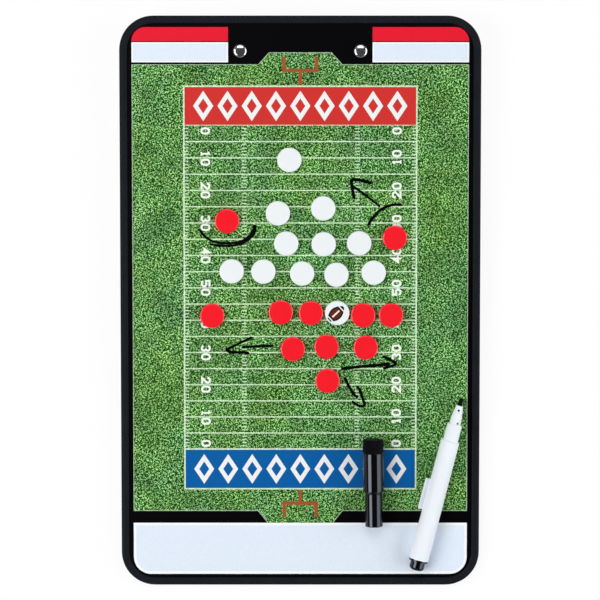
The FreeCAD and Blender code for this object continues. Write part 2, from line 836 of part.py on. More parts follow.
def marker_end_plug():
    """Plug in the barrel's tail, with a thin flange and a rounded end."""
    body = new_body("marker_end_plug")
    spigot = "barrel_bore / 2 - plug_fit"
    revolve(
        body, "plug_profile", "XY_Plane",
        ("0", "-plug_length"),
        ("line", "plug_diameter / 2 - plug_rounding", "-plug_length"),
        ("arc", "plug_diameter / 2", "-plug_length + plug_rounding"),
        ("line", "plug_diameter / 2", "-plug_flange"),
        ("line", "marker_diameter / 2", "-plug_flange"),
        ("line", "marker_diameter / 2", "0"),
        ("line", spigot, "0"),
        ("line", spigot, "plug_spigot"),
        ("line", "0", "plug_spigot"),
    )
    lay_on_face(body, "marker", clockwise=True)


# Cap: its own Y axis runs from the mouth to the eraser

def marker_cap():
    """Stepped cap: mouth tube, groove with a sloping shoulder, and grip, bored for the marker's nose."""
    body = new_body("marker_cap")
    revolve(
        body, "cap_profile", "XY_Plane",
        ("cap_bore / 2", "0"),
        ("line", "cap_mouth_diameter / 2 - cap_chamfer", "0"),
        ("line", "cap_mouth_diameter / 2", "cap_chamfer"),
        ("line", "cap_mouth_diameter / 2", "cap_mouth_length"),
        ("line", "cap_groove_diameter / 2", "cap_mouth_length"),
        ("line", "cap_groove_diameter / 2", "cap_mouth_length + cap_groove_floor"),
        ("line", "cap_diameter / 2 - cap_chamfer", "cap_groove_end"),
        ("line", "cap_diameter / 2", "cap_groove_end + cap_chamfer"),
        ("line", "cap_diameter / 2", "cap_length - cap_chamfer"),
        ("line", "cap_diameter / 2 - cap_chamfer", "cap_length"),
        ("line", "felt_socket / 2", "cap_length"),
        ("line", "felt_socket / 2", "cap_length - felt_socket_depth"),
        ("line", "0", "cap_length - felt_socket_depth"),
        ("line", "0", "cap_bore_depth"),
        ("line", "cap_bore / 2", "cap_bore_depth"),
    )
    lay_on_face(body, "cap", clockwise=False)


def cap_eraser():
    """Felt eraser, plugged into the end of the cap."""
    body = new_body("cap_eraser")
    revolve(
        body, "felt_profile", "XY_Plane",
        ("0", "cap_length - felt_spigot_length"),
        ("line", "felt_spigot / 2", "cap_length - felt_spigot_length"),
        ("line", "felt_spigot / 2", "cap_length"),
        ("line", "felt_diameter / 2", "cap_length"),
        ("line", "felt_diameter / 2", "cap_length + felt_length - felt_rounding"),
        ("arc", "felt_diameter / 2 - felt_rounding", "cap_length + felt_length"),
        ("line", "0", "cap_length + felt_length"),
    )
    lay_on_face(body, "cap", clockwise=False)


# Disc magnets

def disc(label, column, row):
    """A plastic cup with a rounded top, and the ferrite magnet flush in its underside."""
    x = "disc_diameter * %s" % column
    y = "disc_diameter * %s" % row
    cup = new_body(label + "_cup")
    revolve(
        cup, label + "_cup_profile", "XZ_Plane",
        ("ferrite_diameter / 2 + ferrite_clearance", "0"),
        ("line", "disc_diameter / 2 - disc_foot", "0"),
        ("line", "disc_diameter / 2", "disc_foot"),
        ("line", "disc_diameter / 2", "disc_height - disc_rounding"),
        ("arc", "disc_diameter / 2 - disc_rounding", "disc_height"),
        ("line", "0", "disc_height"),
        ("line", "0", "ferrite_thickness"),
        ("line", "ferrite_diameter / 2 + ferrite_clearance", "ferrite_thickness"),
    )
    ferrite = new_body(label + "_magnet")
    revolve(
        ferrite, label + "_magnet_profile", "XZ_Plane",
        ("0", "0"),
        ("line", "ferrite_diameter / 2 - ferrite_chamfer", "0"),
        ("line", "ferrite_diameter / 2", "ferrite_chamfer"),
        ("line", "ferrite_diameter / 2", "ferrite_thickness"),
        ("line", "0", "ferrite_thickness"),
    )
    for body in (cup, ferrite):
        place(body, x=x, y=y, z="face_level")
        nodes.append(body)


def discs():
    for team, places in (("white", WHITE_DISCS), ("red", RED_DISCS)):
        for number, (column, row) in enumerate(places, start=1):
            disc("%s_disc_%d" % (team, number), column, row)
    disc("ball_disc", *BALL_DISC)


def build():
    fill_sheet()
    edge_frame()
    face_layer("front_sheet", "face_thickness", "face_back_level")
    face_layer("backing_board", "backing_thickness", "back_level")
    clip_rivets()
    clip_base_plate()
    clip_hinge_pin()
    clip_spring()
    clip_lever()
    marker_barrel()
    marker_nib()
    marker_ink_reservoir()
    marker_end_plug()
    marker_cap()
    cap_eraser()
    discs()
    doc.recompute()


def check():
    for item in doc.Objects:
        if "Invalid" in item.State or "Error" in item.State:
            raise RuntimeError("%s failed: %s" % (item.Name, item.State))
    for node in nodes:
        if node.Shape.isNull() or not node.Shape.isValid():
            raise RuntimeError("%s has no valid shape" % node.Label)


def write():
    os.makedirs("parts", exist_ok=True)
    for node in nodes:
        node.Shape.exportStep("parts/%s.step" % node.Label)


build()
check()
write()
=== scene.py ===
import json
import math
import random

import bmesh
import bpy
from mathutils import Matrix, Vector, noise

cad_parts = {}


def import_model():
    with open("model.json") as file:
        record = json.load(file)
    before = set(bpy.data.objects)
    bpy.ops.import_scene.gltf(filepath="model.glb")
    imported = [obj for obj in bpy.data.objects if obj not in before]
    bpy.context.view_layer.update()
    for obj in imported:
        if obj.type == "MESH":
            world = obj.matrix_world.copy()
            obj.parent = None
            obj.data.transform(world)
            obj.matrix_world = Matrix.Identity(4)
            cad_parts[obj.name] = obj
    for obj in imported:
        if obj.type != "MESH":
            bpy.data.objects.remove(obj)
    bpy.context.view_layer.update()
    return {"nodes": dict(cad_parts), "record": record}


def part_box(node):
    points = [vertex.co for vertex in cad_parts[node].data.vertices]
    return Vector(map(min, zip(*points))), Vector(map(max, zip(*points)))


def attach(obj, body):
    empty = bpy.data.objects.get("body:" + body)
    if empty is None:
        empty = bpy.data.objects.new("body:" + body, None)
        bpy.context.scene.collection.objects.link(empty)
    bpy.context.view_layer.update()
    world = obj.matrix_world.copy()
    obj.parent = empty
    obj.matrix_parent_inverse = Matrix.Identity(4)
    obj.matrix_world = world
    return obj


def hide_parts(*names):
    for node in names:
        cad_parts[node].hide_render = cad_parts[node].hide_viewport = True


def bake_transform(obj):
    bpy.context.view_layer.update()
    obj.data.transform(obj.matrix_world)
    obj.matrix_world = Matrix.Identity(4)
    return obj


# Magnetic tactics board. Lengths are millimetres in the part's frame: +X to the right of the printed
# face, +Y to its header, +Z out of it. Objects, the stage and the lamps are in metres.

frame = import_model()

MM = 0.001
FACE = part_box("front_sheet")[1].z / MM
HALF_WIDTH, HALF_LENGTH = (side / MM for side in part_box("edge_frame")[1].xy)

# Heights of the print's layers above the face, and how deep they reach into it
SUNK = 0.05
FILL, LINE, MARK, INK = 0.03, 0.06, 0.09, 0.12

# Black border and header
FLANGE = 4.6
LIP_CORNER = 16.2
PRINT_SIDE = 102.8
PRINT_TOP = 168.2
PRINT_BOTTOM = -168.3
PRINT_CORNER = 10.6
HEADER_FLOOR, HEADER_ROOF = 145.6, 152.85
HEADER_STEP_OUT, HEADER_STEP_IN = 25.6, 19.0

# Label and writing panels
PANEL_INNER = 44.0
LABEL_FLOOR = 159.6
LABEL_CORNER = 8.5
PANEL_ROOF, PANEL_FLOOR = 159.0, 146.8
BAND_ROOF, BAND_FLOOR = -129.0, -136.6
BAND_STEP_OUT, BAND_STEP_IN = 26.0, 19.8
NOTES_ROOF = -136.4
PANEL_MARGIN = 0.9
NOTES_MARGIN = 1.6

# Playing field
TURF_EDGE = 0.4
SIDELINE = 71.1
TOP_LINE, BOTTOM_LINE = 132.3, -115.2
TOP_GOAL, BOTTOM_GOAL = 108.6, -90.5
FIELD_YARDS = 100
YARD = (TOP_GOAL - BOTTOM_GOAL) / FIELD_YARDS
LINE_YARDS = 5
BORDER_LINE = 0.95
TOP_GOAL_LINE = 0.4
YARD_LINE = 0.74
TICK_LINE = 0.54
TICK_LENGTH = 2.3
HASH_COLUMNS = (-34.3, 34.9)
HASH_LENGTH = 3.0

# Goalposts: width of their lines, half the crossbar, and each post's stem and uprights
GOALPOST_LINE = 2.1
GOALPOST_REACH = 9.9
TOP_STEM, TOP_UPRIGHT = 9.1, 8.3
BOTTOM_STEM, BOTTOM_UPRIGHT = 8.4, 8.8

# Row of lozenges in each end zone
LOZENGES = 9
LOZENGE_PITCH = 14.8
LOZENGE_HALF = (4.6, 6.9)
LOZENGE_LINE = 2.6

# Yard numbers: one row every ten yards, the zeros moved into the field
NUMBER_YARDS = 10
NUMBER_COLUMNS = (-58.0, 59.0)
NUMBER_UNIT = 0.78
NUMBER_STROKE = 1.6 * NUMBER_UNIT
DIGIT_PITCH = 5.4
ZERO_SHIFT = 3.5

# Numerals on a grid of units: closed rings, open lines, and solid outlines
DIGIT_WIDTH, DIGIT_HEIGHT = 4, 6
DIGITS = {
    "0": {
        "rings": [[
            (1.3, 0), (2.7, 0), (3.6, 0.6), (4, 1.8), (4, 4.2), (3.6, 5.4), (2.7, 6), (1.3, 6),
            (0.4, 5.4), (0, 4.2), (0, 1.8), (0.4, 0.6),
        ]],
    },
    "1": {
        "plates": [[
            (0.8, -0.7), (3.8, -0.7), (3.8, 0.5), (3.0, 0.5), (3.0, 6.7), (1.8, 6.7), (0.5, 5.6),
            (0.5, 4.4), (1.6, 4.9), (1.6, 0.5), (0.8, 0.5),
        ]],
    },
    "2": {
        "lines": [[(0, 4.2), (0, 5), (1, 6), (3, 6), (4, 5), (4, 4), (0, 0), (4.7, 0)]],
    },
    "3": {
        "lines": [[
            (0, 5), (1, 6), (3, 6), (4, 5), (4, 4), (2.9, 3), (4, 2), (4, 1), (3, 0), (1, 0), (0, 1),
        ]],
    },
    "4": {
        "rings": [[(3, 6), (0.3, 2), (3, 2)]],
        "plates": [
            [(2.3, -0.7), (3.7, -0.7), (3.7, 1.3), (2.3, 1.3)],
            [(3.7, 1.3), (4.7, 1.3), (4.7, 2.7), (3.7, 2.7)],
        ],
    },
    "5": {
        "lines": [[(4.5, 6), (0, 6), (0, 3.4), (3, 3.4), (4, 2.6), (4, 1), (3, 0), (1, 0), (0, 1)]],
    },
}

# Strokes of the dry-wipe marker: points along the stroke, and its width
INK_STROKES = [
    ([
        (-62.0, 45.2), (-59.6, 42.0), (-56.5, 39.2), (-52.8, 37.5), (-47.9, 36.6), (-42.4, 36.5),
        (-37.5, 37.3), (-33.2, 39.2), (-30.2, 42.0), (-28.5, 45.2), (-28.1, 48.0),
    ], 1.55),
    ([
        (-55.5, 36.0), (-51.6, 35.3), (-46.7, 34.8), (-41.8, 35.0), (-36.9, 36.0), (-32.6, 38.0),
        (-29.4, 40.9), (-27.5, 44.6), (-27.6, 47.8),
    ], 1.45),
    ([(48.9, 58.8), (44.5, 62.3), (40.2, 65.7), (35.9, 68.8), (32.2, 71.3)], 1.45),
    ([(43.7, 73.2), (38.9, 74.5), (34.6, 75.4), (31.1, 75.3)], 2.0),
    ([(31.0, 75.7), (31.5, 71.5), (33.0, 63.6)], 1.95),
    ([
        (41.4, 47.3), (43.3, 50.5), (45.4, 53.2), (48.4, 56.4), (51.8, 58.4), (55.5, 59.7), (58.5, 60.1),
        (62.2, 60.0),
    ], 1.75),
    ([(-16.5, -26.6), (-26.6, -27.0), (-36.0, -27.5)], 1.7),
    ([(-29.4, -21.3), (-34.0, -23.4), (-38.3, -25.5), (-42.6, -27.7), (-45.9, -29.5)], 1.6),
    ([(-45.8, -29.0), (-43.2, -30.4), (-39.5, -30.7), (-35.2, -30.7), (-31.3, -31.3)], 1.75),
    ([(25.0, -40.9), (31.8, -40.0), (37.9, -39.4), (44.1, -38.9), (50.2, -38.4), (55.1, -37.6)], 2.0),
    ([(50.2, -33.1), (53.3, -34.2), (56.0, -35.6), (59.4, -37.7)], 1.8),
    ([(59.4, -37.5), (56.3, -39.1), (53.3, -39.9), (50.8, -40.6)], 1.8),
    ([(27.2, -46.0), (29.3, -50.5), (31.2, -53.9), (33.3, -57.0), (35.7, -58.6)], 1.8),
    ([
        (34.6, -51.5), (36.7, -54.3), (37.9, -57.3), (38.9, -60.8), (39.4, -62.9), (38.3, -64.0),
        (36.1, -63.7), (34.0, -62.5), (31.6, -60.9),
    ], 1.8),
]

# A stroke's steps, the share of its waver and its rate per millimetre, and the least share at an end
STROKE_STEP = 0.35
STROKE_WAVER = 0.16
WAVER_RATE = 0.4
STROKE_END = 0.15

# Print on the ball disc: its lean, its shift from the disc's middle, and lengths along and across it
BALL_LEAN = math.radians(43)
BALL_SHIFT = (-0.8, -0.45)
BALL_HALF = (6.4, 3.3)
BALL_OUTLINE = 0.5
BALL_BAND = 3.7
BALL_GAP = 4.9
UPPER_TIP, LOWER_TIP = 6.3, 5.7
LEATHER_HALF = 3.35
LEATHER_INSET = 0.45
SEAM_LEATHER, SEAM_EDGE = 0.35, 0.95
LACE_HALF = (2.9, 0.55)
BALL_STEPS = 12
OUTLINE_LAYER, LEATHER_LAYER, LACE_LAYER = 0.02, 0.04, 0.06

# Felt eraser: its root inside the cap, the bevel where it leaves the cap, and its rounded end
FELT_SIDES = 72
FELT_RINGS = 26
FELT_END_RINGS = 10
FELT_ROUND_STEPS = 6
FELT_ROUNDING = 1.0
ROOT_INSET = 1.9
ROOT_GAP = 0.1
BEVEL = 0.3
BEVEL_GAP = 0.05

# Uneven surface of the felt: depth and rate per millimetre of each noise, and how far it is pressed in
FELT_SWELLS = ((0.22, 0.45), (0.12, 1.7))
FELT_PRESSED = 0.12

# Loose fibres of the felt
FELT_FIBRES = 1400
FIBRE_SEED = 11
FIBRES_ON_END = 0.35
FIBRE_END_REACH = 0.95
FIBRE_START = 0.4
FIBRE_RISE, FIBRE_LAY = 0.5, 0.4
FIBRE_LENGTH = (0.25, 0.6)
FIBRE_RADIUS = 0.03
FIBRE_ROOT = 0.1
FIBRE_SECTION = ((1, 0), (-0.5, 0.87), (-0.5, -0.87))


# Flat shapes

# Sharpest corner of a line that is mitred in full, as the cosine of half its turn
MITRE_LIMIT = 0.3


def turn(x, y, radius, start, steps=10):
    """Points of a quarter turn about (x, y), anticlockwise from the start angle."""
    angles = [math.radians(start + 90 * step / steps) for step in range(steps + 1)]
    return [(x + radius * math.cos(angle), y + radius * math.sin(angle)) for angle in angles]


def box_outline(left, bottom, right, top, radii=(0, 0, 0, 0)):
    """A box with its own radius at each corner, from the lower left one anticlockwise."""
    corners = ((left, bottom, 1, 1), (right, bottom, -1, 1), (right, top, -1, -1), (left, top, 1, -1))
    outline = []
    for index, ((x, y, inward_x, inward_y), radius) in enumerate(zip(corners, radii)):
        if radius:
            outline += turn(x + inward_x * radius, y + inward_y * radius, radius, 180 + 90 * index)
        else:
            outline.append((x, y))
    return outline


def inset(box, margin):
    left, bottom, right, top = box
    return left + margin, bottom + margin, right - margin, top - margin


def mirrored(outline):
    return [(-x, y) for x, y in outline]


def line_edges(points, width, closed=False):
    """Both edges of a line of the given width, with mitred corners."""
    left, right = [], []
    last = len(points) - 1
    for index, (x, y) in enumerate(points):
        before = points[index - 1] if closed or index else None
        after = points[(index + 1) % len(points)] if closed or index < last else None
        headings = []
        if before:
            headings.append(Vector((x - before[0], y - before[1])).normalized())
        if after:
            headings.append(Vector((after[0] - x, after[1] - y)).normalized())
        heading = sum(headings, Vector((0, 0))).normalized()
        reach = width / 2 / max(MITRE_LIMIT, heading.dot(headings[0]))
        left.append((x - heading.y * reach, y + heading.x * reach))
        right.append((x + heading.y * reach, y - heading.x * reach))
    return left, right


def smooth_line(points, step):
    """Points about one step apart on a smooth curve through the given ones."""
    padded = [points[0]] + points + [points[-1]]
    knots = [Vector(point) for point in padded]
    curve = []
    for a, b, c, d in zip(knots, knots[1:], knots[2:], knots[3:]):
        slope = c - a
        bend = 2 * a - 5 * b + 4 * c - d
        twist = 3 * b - a - 3 * c + d
        count = max(2, round((c - b).length / step))
        for index in range(count):
            t = index / count
            curve.append(0.5 * (2 * b + slope * t + bend * t * t + twist * t ** 3))
    return curve + [knots[-1]]


# Meshes

def add_plate(mesh, outline, low, high):
    """A closed flat slab with the given outline."""
    bottom = [mesh.verts.new((x * MM, y * MM, low * MM)) for x, y in outline]
    top = [mesh.verts.new((x * MM, y * MM, high * MM)) for x, y in outline]
    mesh.faces.new(bottom)
    mesh.faces.new(top)
    for index in range(len(outline)):
        mesh.faces.new((bottom[index - 1], bottom[index], top[index], top[index - 1]))


def add_band(mesh, left, right, low, high, closed=False):
    """A closed flat slab between two lines of equally many points."""
    rows = []
    for (left_x, left_y), (right_x, right_y) in zip(left, right):
        section = (
            (left_x, left_y, low), (right_x, right_y, low),
            (right_x, right_y, high), (left_x, left_y, high),
        )
        rows.append([mesh.verts.new((x * MM, y * MM, z * MM)) for x, y, z in section])
    spans = list(zip(rows, rows[1:]))
    if closed:
        spans.append((rows[-1], rows[0]))
    else:
        mesh.faces.new(rows[0])
        mesh.faces.new(rows[-1])
    for here, there in spans:
        for index in range(4):
            mesh.faces.new((here[index - 1], here[index], there[index], there[index - 1]))


def add_line(mesh, points, width, low, high, closed=False):
    add_band(mesh, *line_edges(points, width, closed), low, high, closed)


def show(obj):
    bpy.context.scene.collection.objects.link(obj)
    return obj


def piece(name, mesh, material, body):
    """Finish a mesh as a piece of the object that moves with a body."""
    bmesh.ops.recalc_face_normals(mesh, faces=mesh.faces)
    data = bpy.data.meshes.new(name)
    mesh.to_mesh(data)
    mesh.free()
    data.materials.append(material)
    obj = show(bpy.data.objects.new(name, data))
    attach(obj, body)
    return obj


def printed(name, material, layer, plates=(), lines=(), rings=(), width=0):
    """Ink on the face: solid outlines, and open or closed lines of one width."""
    mesh = bmesh.new()
    low, high = FACE - SUNK, FACE + layer
    for outline in plates:
        add_plate(mesh, outline, low, high)
    for points in lines:
        add_line(mesh, points, width, low, high)
    for points in rings:
        add_line(mesh, points, width, low, high, closed=True)
    piece(name, mesh, material, "board")


# Materials

# Range that most of a noise lies in
NOISE_LOW, NOISE_HIGH = 0.3, 0.7

# Moulded plastic: sizes of its clouds and of its polished patches, and shares of its roughness there
CLOUD_SIZE = 9
POLISH_SIZE = 4
POLISH_SHARES = (0.85, 1.2)

# Plated metal: size and tones of its streaks, size of its rubbed patches, and shares of its roughness there
STREAK_SIZE = 0.5
STREAK_TONES = (0.9, 1.04)
RUB_SIZE = 6
RUB_SHARES = (0.8, 1.4)

# Printing ink: size and tones of its screen, and the blades of turf that show through where it is thin
SCREEN_SIZE = 0.5
SCREEN_TONES = (0.98, 1.015)
THROUGH_SIZE = 0.7
THROUGH_STRETCH = (1, 1.6, 1)
THROUGH_LEAN = 0.6
THROUGH_GAPS = (0.42, 0.6)
THROUGH_COLOR = (28, 100, 4)

# Clear film over the print
FILM_ROUGHNESS = 0.3
FILM_GLOSS = 0.3
FILM_WAVE = 5
FILM_DEPTH = 0.01

# Turf colours by the height of a blade, from the gaps between blades to their tips
GRASS_MID = (0, 100, 0)
GRASS = ((0.55, (0, 46, 0)), (0.588, GRASS_MID), (0.62, (110, 214, 80)), (0.654, (212, 255, 184)))

# The face lies on a whole layer of the turf's noise, where that is finest
TURF_LAYERS = 26
BLADE_STRETCH = (1, 2.4, 1)
BLADE_LEANS = (0.25, 1.3, 2.3)

# Tufts of lighter and of warmer green: their sizes, and the tints that the turf is multiplied by
TUFT_SIZE = 18
TUFT_TINTS = ((0.34, (200, 205, 200)), (0.66, (255, 255, 255)))
WARMTH_SIZE = 30
WARMTH_TINTS = ((0.36, (255, 255, 230)), (0.64, (241, 250, 255)))

# Lean of the marker's fibres, which lie along it
MARKER_FIBRES = -0.26


def linear(color):
    """Scene colour of an 8-bit display colour."""
    channels = [value / 255 for value in color]
    return tuple(c / 12.92 if c <= 0.04045 else ((c + 0.055) / 1.055) ** 2.4 for c in channels) + (1,)


def shade(color, factor):
    return tuple(min(255, channel * factor) for channel in color)


def add_node(tree, kind, inputs=None, **settings):
    """A node with its inputs set to numbers or linked to outputs."""
    made = tree.nodes.new("ShaderNode" + kind)
    for name, value in settings.items():
        setattr(made, name, value)
    for key, value in (inputs or {}).items():
        if isinstance(value, bpy.types.NodeSocket):
            tree.links.new(value, made.inputs[key])
        else:
            made.inputs[key].default_value = value
    return made


class Surface:
    """A material with one principled shader, and short ways to feed its sockets."""

    def __init__(self, name, color, roughness, **constants):
        self.material = bpy.data.materials.new(name)
        self.material.use_nodes = True
        self.tree = self.material.node_tree
        self.shader = self.tree.nodes["Principled BSDF"]
        self.shader.inputs["Base Color"].default_value = linear(color)
        self.shader.inputs["Roughness"].default_value = roughness
        for socket, value in constants.items():
            self.shader.inputs[socket.replace("_", " ")].default_value = value
        self.place = self.tree.nodes.new("ShaderNodeTexCoord").outputs["Object"]

    def node(self, kind, inputs, **settings):
        return add_node(self.tree, kind, inputs, **settings)

    def feed(self, socket, value):
        self.tree.links.new(value, self.shader.inputs[socket])

    def grain(self, size, detail=2.0, stretch=(1, 1, 1), lean=0.0):
        """Noise of a size in millimetres, drawn out along axes that lean anticlockwise."""
        scale = [size * MM * along for along in stretch]
        mapped = self.node(
            "Mapping",
            {"Vector": self.place, "Rotation": (0, 0, lean), "Scale": scale},
            vector_type="TEXTURE",
        )
        made = self.node("TexNoise", {"Vector": mapped.outputs[0], "Scale": 1.0, "Detail": detail})
        return made.outputs["Fac"]

    def highest(self, first, second):
        return self.node("Math", {0: first, 1: second}, operation="MAXIMUM").outputs[0]

    def ramp(self, value, *stops):
        """Colours, or grey numbers, at places from 0 to 1."""
        made = self.node("ValToRGB", {"Fac": value})
        elements = made.color_ramp.elements
        while len(elements) < len(stops):
            elements.new(0.5)
        for element, (place, color) in zip(elements, stops):
            element.position = place
            element.color = (color, color, color, 1) if isinstance(color, (int, float)) else linear(color)
        return made.outputs["Color"]

    def mix(self, share, first, second, blend="MIX"):
        made = self.node("Mix", {0: share, 6: first, 7: second}, data_type="RGBA", blend_type=blend)
        return made.outputs[2]

    def vary(self, value, *stops):
        """Let noise move the base colour between the stops."""
        self.feed("Base Color", self.ramp(value, *stops))

    def wear(self, value, low, high):
        """Let noise move the roughness between two numbers."""
        made = self.node(
            "MapRange",
            {"Value": value, "From Min": NOISE_LOW, "From Max": NOISE_HIGH, "To Min": low, "To Max": high},
        )
        self.feed("Roughness", made.outputs[0])

    def bump(self, height, depth):
        """Raise the surface by noise, to a depth in millimetres."""
        made = self.node("Bump", {"Height": height, "Distance": depth * MM, "Strength": 1.0})
        self.feed("Normal", made.outputs[0])


def plastic(name, color, roughness, texture=0.35, relief=0.004, cloud=0.02, **constants):
    """Moulded plastic: a faint cloud in its colour, a fine texture, and patches of higher polish."""
    surface = Surface(name, color, roughness, **constants)
    dark, light = shade(color, 1 - cloud), shade(color, 1 + cloud / 2)
    smooth, rough = (roughness * share for share in POLISH_SHARES)
    surface.vary(surface.grain(CLOUD_SIZE, detail=3), (NOISE_LOW, dark), (NOISE_HIGH, light))
    surface.wear(surface.grain(POLISH_SIZE, detail=4), smooth, rough)
    surface.bump(surface.grain(texture), relief)
    return surface.material


def metal(name, color, roughness, stretch, relief):
    """Plated metal: drawn or polished streaks in its tone, gloss and surface."""
    surface = Surface(name, color, roughness, Metallic=1.0)
    dark, light = (shade(color, tone) for tone in STREAK_TONES)
    smooth, rough = (roughness * share for share in RUB_SHARES)
    streaks = surface.grain(STREAK_SIZE, detail=3, stretch=stretch)
    surface.vary(streaks, (NOISE_LOW, dark), (NOISE_HIGH, light))
    surface.wear(surface.grain(RUB_SIZE, detail=3), smooth, rough)
    surface.bump(streaks, relief)
    return surface.material


def ink(name, color, show_through=0.0, gloss=FILM_GLOSS):
    """Printing ink under a clear film: a fine screen in its tone, and turf that shows through thin ink."""
    surface = Surface(name, color, FILM_ROUGHNESS, Specular_IOR_Level=gloss)
    dark, light = (shade(color, tone) for tone in SCREEN_TONES)
    screen = surface.grain(SCREEN_SIZE, detail=1)
    tone = surface.ramp(screen, (NOISE_LOW, dark), (NOISE_HIGH, light))
    if show_through:
        blades = surface.grain(THROUGH_SIZE, stretch=THROUGH_STRETCH, lean=THROUGH_LEAN)
        thin, thick = THROUGH_GAPS
        gaps = surface.ramp(blades, (thin, show_through), (thick, 0.0))
        tone = surface.mix(gaps, tone, linear(THROUGH_COLOR))
    surface.feed("Base Color", tone)
    surface.bump(surface.grain(FILM_WAVE), FILM_DEPTH)
    return surface.material


def grass():
    """Photographic turf print: blades in three directions, in tufts of lighter and of warmer green."""
    surface = Surface("turf_print", GRASS_MID, FILM_ROUGHNESS, Specular_IOR_Level=FILM_GLOSS)
    first, second, third = (
        surface.grain(FACE / TURF_LAYERS, detail=1, stretch=BLADE_STRETCH, lean=lean)
        for lean in BLADE_LEANS
    )
    turf = surface.ramp(surface.highest(surface.highest(first, second), third), *GRASS)
    light = surface.ramp(surface.grain(TUFT_SIZE, detail=4), *TUFT_TINTS)
    warmth = surface.ramp(surface.grain(WARMTH_SIZE), *WARMTH_TINTS)
    tufts = surface.mix(1.0, light, warmth, "MULTIPLY")
    surface.feed("Base Color", surface.mix(1.0, turf, tufts, "MULTIPLY"))
    surface.bump(surface.grain(FILM_WAVE), FILM_DEPTH)
    return surface.material


def marker_ink():
    """Dry-wipe ink, streaked by the nib."""
    surface = Surface("marker_ink", (4, 5, 5), 0.5, Specular_IOR_Level=0.04)
    streaks = surface.grain(0.35, detail=3, stretch=(1, 4, 1), lean=0.9)
    surface.vary(streaks, (0.3, (2, 3, 3)), (0.75, (12, 13, 13)))
    surface.wear(streaks, 0.38, 0.62)
    return surface.material


def felt():
    """Matted fibres that cross each other."""
    surface = Surface("eraser_felt", (14, 14, 19), 0.95, Specular_IOR_Level=0.1, Sheen_Weight=0.05)
    fibres = surface.highest(
        surface.grain(0.3, detail=3, stretch=(1, 3, 1), lean=0.5),
        surface.grain(0.3, detail=3, stretch=(3, 1, 1), lean=0.2),
    )
    surface.vary(fibres, (0.45, (1, 1, 6)), (0.62, (6, 7, 15)), (0.78, (20, 21, 35)))
    surface.bump(fibres, 0.12)
    return surface.material


def ferrite():
    """Pressed and fired powder."""
    surface = Surface("ferrite", (52, 52, 55), 0.75)
    surface.vary(surface.grain(0.6, detail=4), (0.35, (38, 38, 41)), (0.7, (66, 66, 69)))
    surface.bump(surface.grain(0.4, detail=4), 0.03)
    return surface.material


def fibre(name, color):
    """Bonded fibre rod of the marker, drawn out along it."""
    surface = Surface(name, color, 0.85, Specular_IOR_Level=0.1)
    strands = surface.grain(0.15, stretch=(1, 12, 1), lean=MARKER_FIBRES)
    surface.vary(strands, (0.35, shade(color, 0.7)), (0.7, shade(color, 1.3)))
    surface.bump(strands, 0.03)
    return surface.material


MATERIALS = {
    "edging": plastic(
        "edging", (27, 30, 35), 0.45, texture=0.5, relief=0.008, cloud=0.08, Specular_IOR_Level=0.035,
    ),
    "printed_face": grass(),
    "white_backing": plastic(
        "white_backing", (232, 233, 232), 0.5, texture=0.4, relief=0.008, cloud=0.006,
    ),
    "rivet_chrome": metal("rivet_chrome", (226, 228, 232), 0.1, stretch=(1, 1, 1), relief=0.0008),
    "clip_steel": metal("clip_steel", (196, 198, 202), 0.22, stretch=(24, 1, 1), relief=0.002),
    "spring_steel": metal("spring_steel", (150, 152, 158), 0.3, stretch=(1, 6, 6), relief=0.002),
    "marker_white": plastic(
        "marker_white", (238, 244, 250), 0.45, relief=0.002, cloud=0.004, Specular_IOR_Level=0.2,
    ),
    "marker_black": plastic(
        "marker_black", (3, 3, 5), 0.06, texture=0.6, relief=0.001, cloud=0.1,
        Specular_IOR_Level=0.6, Specular_Tint=(0.82, 0.88, 1, 1),
    ),
    "nib_fibre": fibre("nib_fibre", (8, 8, 9)),
    "ink_fibre": fibre("ink_fibre", (30, 30, 34)),
    "eraser_felt": felt(),
    "disc_white": plastic("disc_white", (242, 247, 249), 0.12, cloud=0.004, Specular_IOR_Level=0.9),
    "disc_red": plastic("disc_red", (250, 28, 41), 0.12, cloud=0.006, Specular_IOR_Level=0.9),
    "ferrite": ferrite(),
}


def dress_nodes():
    """Give each solid the material of its slot."""
    for part in frame["record"]["subparts"]:
        for slot in frame["nodes"][part["node"]].material_slots:
            slot.material = MATERIALS[part["material_slot"]]


# Print on the face

def black_print():
    """Border up to the frame's lip, header with its notch, and the band above the lower panel."""
    mesh = bmesh.new()
    low, high = FACE - SUNK, FACE + FILL
    lip = inset((-HALF_WIDTH, -HALF_LENGTH, HALF_WIDTH, HALF_LENGTH), FLANGE)
    outer = box_outline(*lip, [LIP_CORNER] * 4)
    inner = box_outline(-PRINT_SIDE, PRINT_BOTTOM, PRINT_SIDE, PRINT_TOP, [PRINT_CORNER] * 4)
    add_band(mesh, outer, inner, low, high, closed=True)
    corners = (0, 0, PRINT_CORNER, PRINT_CORNER)
    header = box_outline(-PRINT_SIDE, HEADER_FLOOR, PRINT_SIDE, PRINT_TOP, corners)
    notch = [
        (-HEADER_STEP_OUT, HEADER_FLOOR), (-HEADER_STEP_IN, HEADER_ROOF),
        (HEADER_STEP_IN, HEADER_ROOF), (HEADER_STEP_OUT, HEADER_FLOOR),
    ]
    add_plate(mesh, header[:1] + notch + header[1:], low, high)
    band = [
        (-PRINT_SIDE, BAND_FLOOR), (-BAND_STEP_IN, BAND_FLOOR),
        (-BAND_STEP_OUT, BAND_ROOF), (-PRINT_SIDE, BAND_ROOF),
    ]
    add_plate(mesh, band, low, high)
    add_plate(mesh, mirrored(band), low, high)
    piece("black_print", mesh, ink("black_ink", (2, 2, 4), gloss=0.12), "board")


